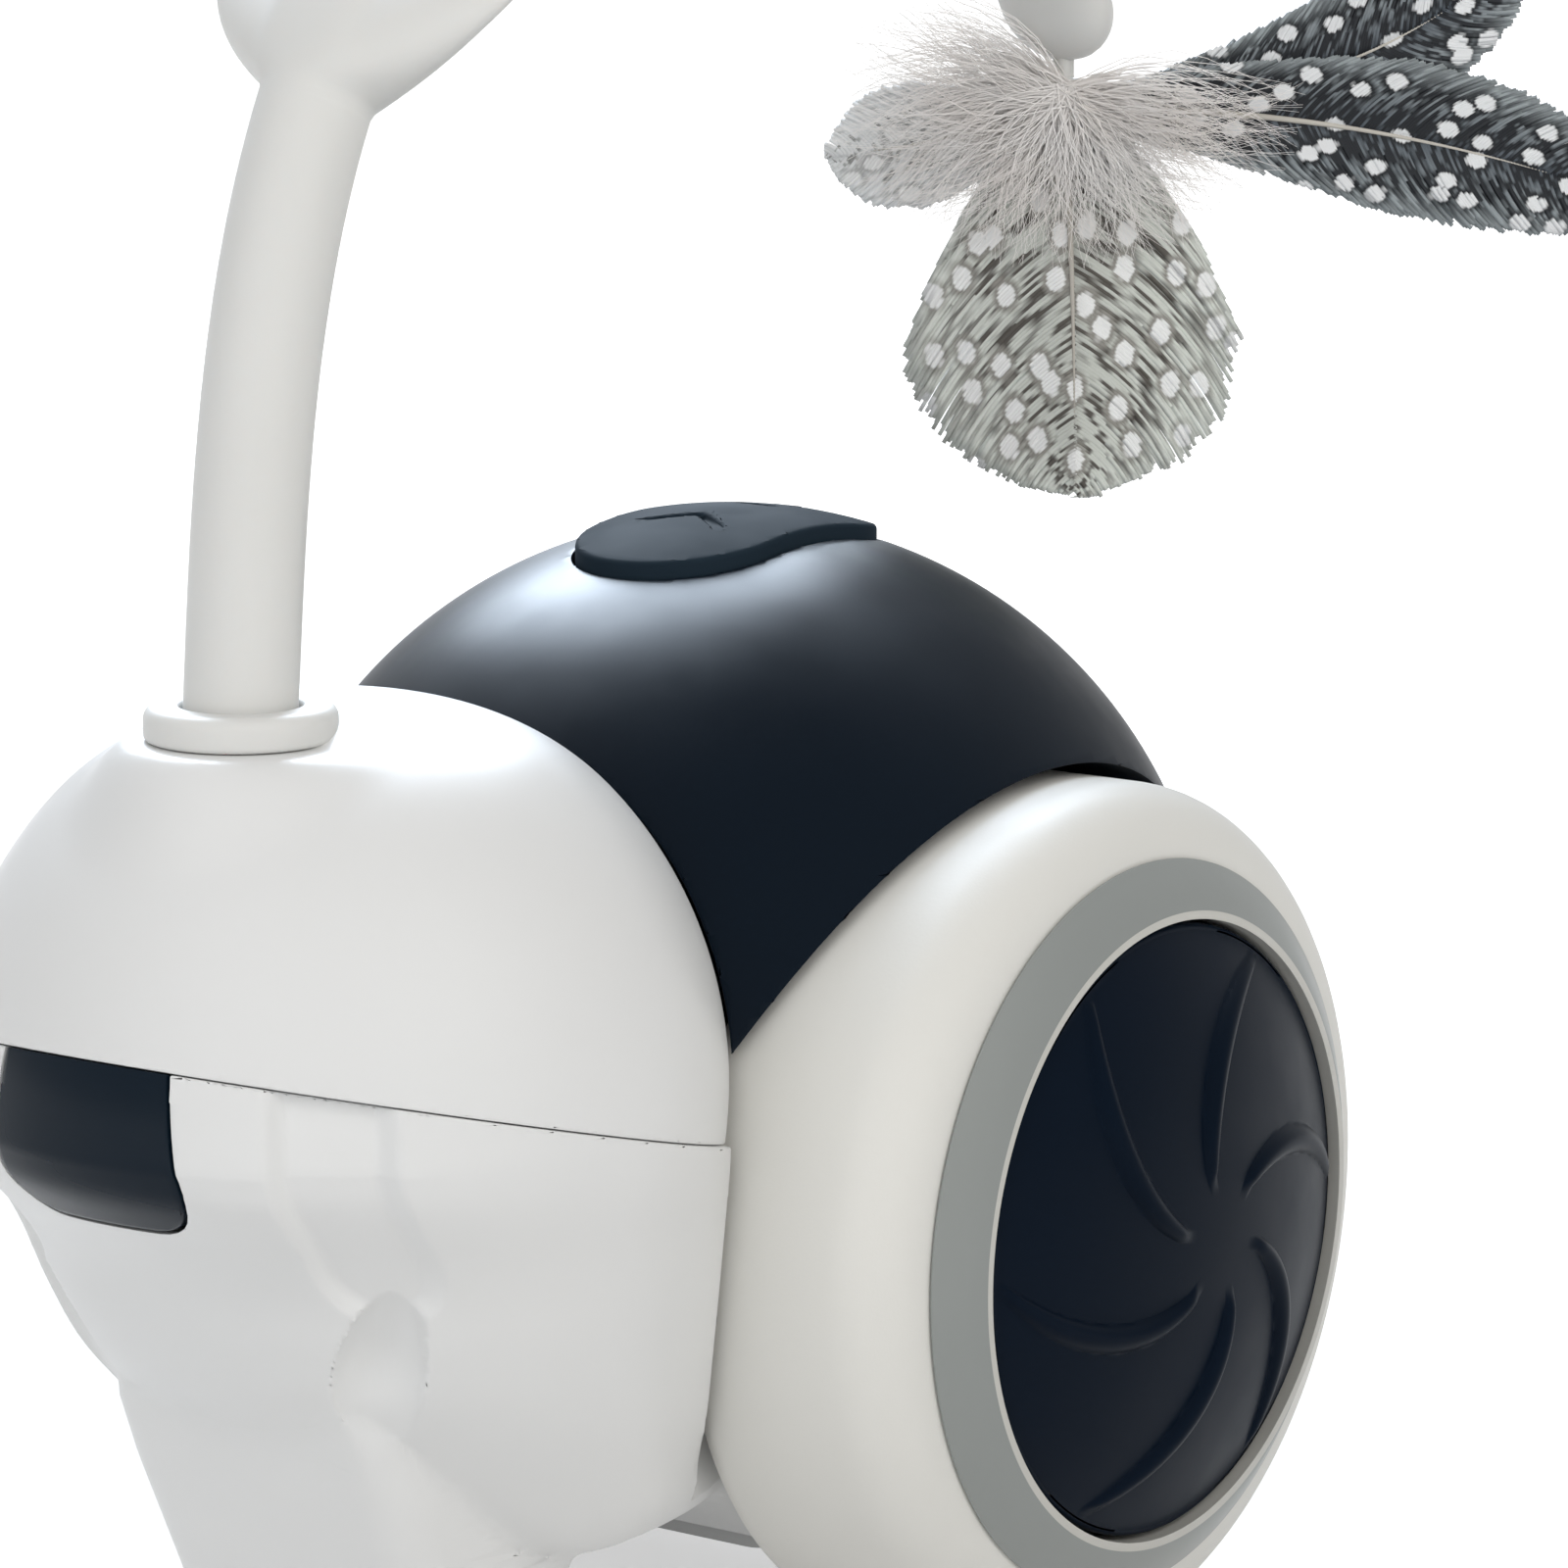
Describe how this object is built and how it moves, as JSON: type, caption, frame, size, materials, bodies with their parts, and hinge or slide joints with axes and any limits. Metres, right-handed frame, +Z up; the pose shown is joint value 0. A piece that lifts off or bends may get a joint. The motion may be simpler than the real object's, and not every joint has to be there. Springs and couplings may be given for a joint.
{
  "type": "automatic cat toy",
  "caption": "Automatic cat toy: ball body on two wheels, helmet head on a castor foot, crowned top button, and a bent leaf arm that dangles feathers.",
  "frame": {"origin": "on the floor under the middle of the whole toy's bounding box, about under the wheel axle", "axes": "the face looks along -Y, the wheels turn about X and +Z is up"},
  "size_m": [0.1176, 0.1914, 0.1905],
  "materials": {
    "white_shell": "satin moulded plastic",
    "dark_shell": "satin moulded plastic",
    "dark_window": "gloss infrared-clear window",
    "button_rubber": "matt elastomer",
    "white_silicone": "matt silicone",
    "tyre_rubber": "matt soft rubber",
    "grey_trim": "satin moulded plastic",
    "hub_plastic": "satin moulded plastic",
    "steel": "plated steel",
    "gear_nylon": "natural nylon",
    "frame_plastic": "moulded plastic",
    "board_green": "solder mask",
    "cell_blue": "shrink wrap",
    "lamp_clear": "tinted lamp body",
    "feather_grey": "spotted feather",
    "feather_dark": "dark spotted feather",
    "down_white": "fluffy down"
  },
  "bodies": {
    "body": {"upper_cover": "dark_shell", "head_cover": "white_shell", "lower_shell": "white_shell", "visor": "dark_window", "castor_cup": "frame_plastic", "service_cover": "white_shell", "cover_screw_1": "steel", "cover_screw_2": "steel", "cover_screw_3": "steel", "cover_screw_4": "steel", "main_board": "board_green", "tact_switch": "frame_plastic", "sensor_board": "board_green", "infrared_eye_1": "lamp_clear", "infrared_eye_2": "lamp_clear", "infrared_eye_3": "lamp_clear", "charge_socket": "steel", "battery": "cell_blue", "gearbox_left": "frame_plastic", "gearbox_right": "frame_plastic", "motor_left": "steel", "motor_right": "steel", "gear_pin_left": "steel", "gear_pin_right": "steel", "axle_bush_left": "gear_nylon", "axle_bush_right": "gear_nylon", "arm_collar": "white_silicone"},
    "wheel_left": {"axle_left": "steel", "output_gear_left": "gear_nylon", "rim_left": "white_shell", "tyre_left": "tyre_rubber", "trim_ring_left": "grey_trim", "hub_cap_left": "hub_plastic"},
    "wheel_right": {"axle_right": "steel", "output_gear_right": "gear_nylon", "rim_right": "white_shell", "tyre_right": "tyre_rubber", "trim_ring_right": "grey_trim", "hub_cap_right": "hub_plastic"},
    "idler_left": {"idler_gear_left": "gear_nylon"},
    "idler_right": {"idler_gear_right": "gear_nylon"},
    "rotor_left": {"motor_pinion_left": "gear_nylon"},
    "rotor_right": {"motor_pinion_right": "gear_nylon"},
    "castor": {"castor_ball": "steel"},
    "button": {"button_pad": "button_rubber"},
    "arm_body": {"arm": "white_silicone"},
    "lure": {"lure_clip": "white_silicone", "feather_hanging": "feather_grey", "feather_small": "feather_grey", "feather_dark_long": "feather_dark", "feather_dark_upper": "feather_dark", "down_tuft": "down_white"}
  },
  "joints": [
    {"name": "wheel_spin_left", "type": "hinge", "parent": "body", "child": "wheel_left", "pos_m": [-0.037, 0.00047, 0.042], "axis": [1, 0, 0], "continuous": true},
    {"name": "wheel_spin_right", "type": "hinge", "parent": "body", "child": "wheel_right", "pos_m": [0.037, 0.00047, 0.042], "axis": [1, 0, 0], "continuous": true},
    {"name": "idler_spin_left", "type": "hinge", "parent": "body", "child": "idler_left", "pos_m": [-0.018, -0.01344, 0.03827], "axis": [1, 0, 0], "continuous": true},
    {"name": "idler_spin_right", "type": "hinge", "parent": "body", "child": "idler_right", "pos_m": [0.018, -0.01344, 0.03827], "axis": [1, 0, 0], "continuous": true},
    {"name": "rotor_spin_left", "type": "hinge", "parent": "body", "child": "rotor_left", "pos_m": [-0.016, -0.02565, 0.03612], "axis": [1, 0, 0], "continuous": true},
    {"name": "rotor_spin_right", "type": "hinge", "parent": "body", "child": "rotor_right", "pos_m": [0.016, -0.02565, 0.03612], "axis": [1, 0, 0], "continuous": true},
    {"name": "castor_roll", "type": "hinge", "parent": "body", "child": "castor", "pos_m": [0, -0.05283, 0.0065], "axis": [1, 0, 0], "continuous": true},
    {"name": "button_press", "type": "slide", "parent": "body", "child": "button", "axis": [0, 0, -1], "range_m": [0, 0.0008], "stiffness_N_per_m": 1200, "springref_m": -0.0003},
    {"name": "arm_swivel", "type": "hinge", "parent": "body", "child": "arm_body", "pos_m": [0, -0.07213, 0.0946], "axis": [0, 0, 1], "range_deg": [-90, 90]},
    {"name": "lure_swing", "type": "hinge", "parent": "arm_body", "child": "lure", "pos_m": [0, 0.05845, 0.15035], "axis": [1, 0, 0], "range_deg": [-15, 15], "stiffness_Nm_per_rad": 0.003}
  ],
  "couplings": [
    {"joint": "idler_spin_left", "follows": "wheel_spin_left", "ratio": -3},
    {"joint": "rotor_spin_left", "follows": "wheel_spin_left", "ratio": 7.3333},
    {"joint": "idler_spin_right", "follows": "wheel_spin_right", "ratio": -3},
    {"joint": "rotor_spin_right", "follows": "wheel_spin_right", "ratio": 7.3333}
  ]
}
